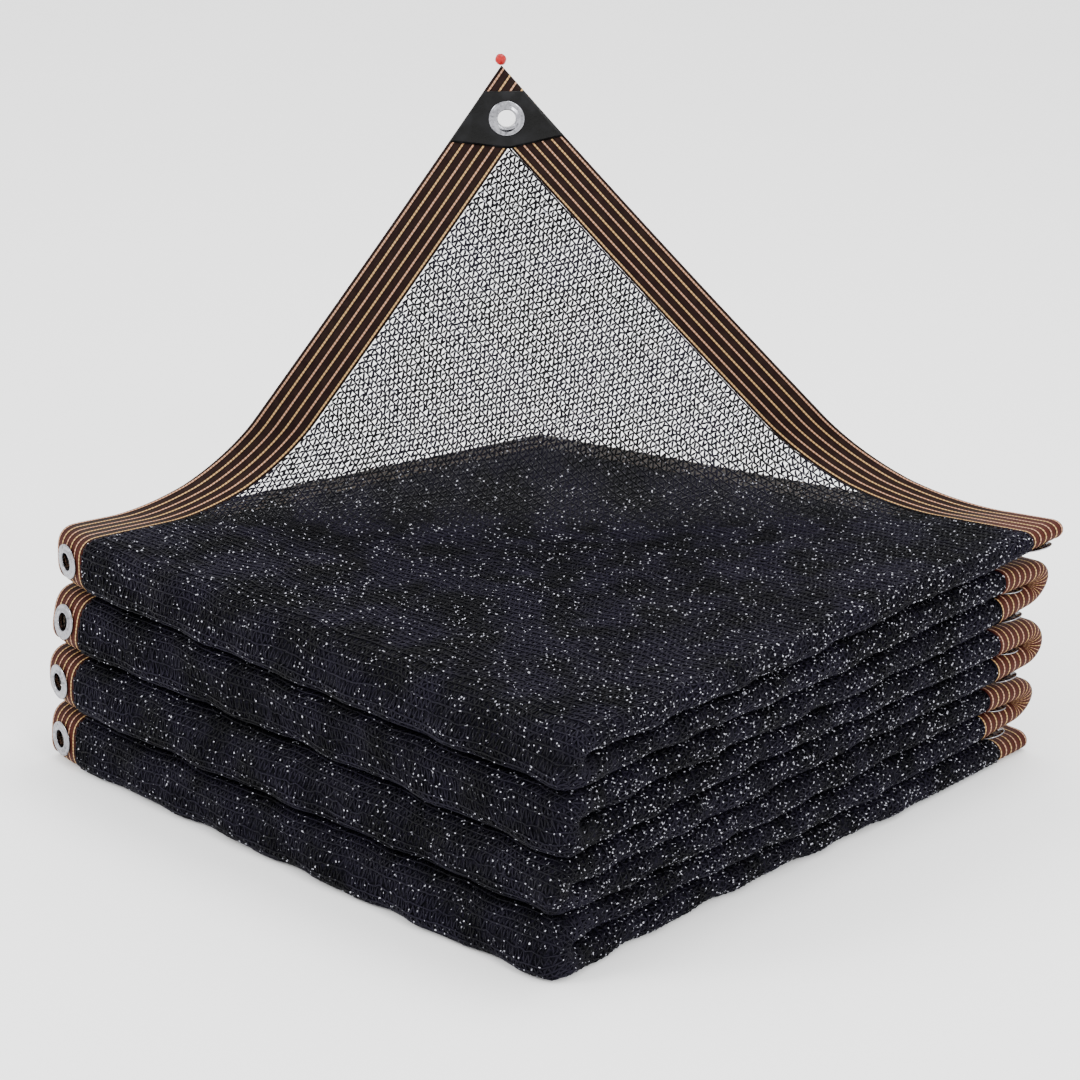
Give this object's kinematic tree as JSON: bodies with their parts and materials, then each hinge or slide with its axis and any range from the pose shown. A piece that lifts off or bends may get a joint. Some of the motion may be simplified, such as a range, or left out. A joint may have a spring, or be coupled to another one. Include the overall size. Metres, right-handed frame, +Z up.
{
  "type": "shade cloth",
  "caption": "Knitted net shade cloth with striped binding tape and metal eyelets, folded into a stacked pile with one corner raised.",
  "frame": {"origin": "on the flat underside of the pile, below its middle, at the height of the surface that it rests on", "axes": "+Z up; +X from the side with the eyelet tape towards the side with the folded ridges; +Y from the front bends towards the back bends"},
  "size_m": [0.573, 0.5728, 0.5421],
  "materials": {
    "net": "knitted plastic yarn, black with a faint purple-grey sheen",
    "tape": "woven tape, dark brown with thin cream stripes",
    "patch": "satin black coated fabric",
    "eyelet_metal": "pressed, silver coloured and lightly polished",
    "bead": "satin red"
  },
  "bodies": {
    "root": {"cloth": "net", "binding_left": "tape", "binding_inner": "tape", "binding_top": "tape", "binding_end": "tape", "fold_band_1": "tape", "fold_band_2": "tape", "fold_band_3": "tape", "corner_patch": "patch", "corner_eyelet": "eyelet_metal", "left_eyelet_1": "eyelet_metal", "left_eyelet_2": "eyelet_metal", "left_eyelet_3": "eyelet_metal", "left_eyelet_4": "eyelet_metal", "right_eyelet_1": "eyelet_metal", "right_eyelet_2": "eyelet_metal", "right_eyelet_3": "eyelet_metal", "right_eyelet_4": "eyelet_metal", "right_eyelet_5": "eyelet_metal", "right_eyelet_6": "eyelet_metal", "right_eyelet_7": "eyelet_metal", "tip_bead": "bead"}
  },
  "joints": []
}
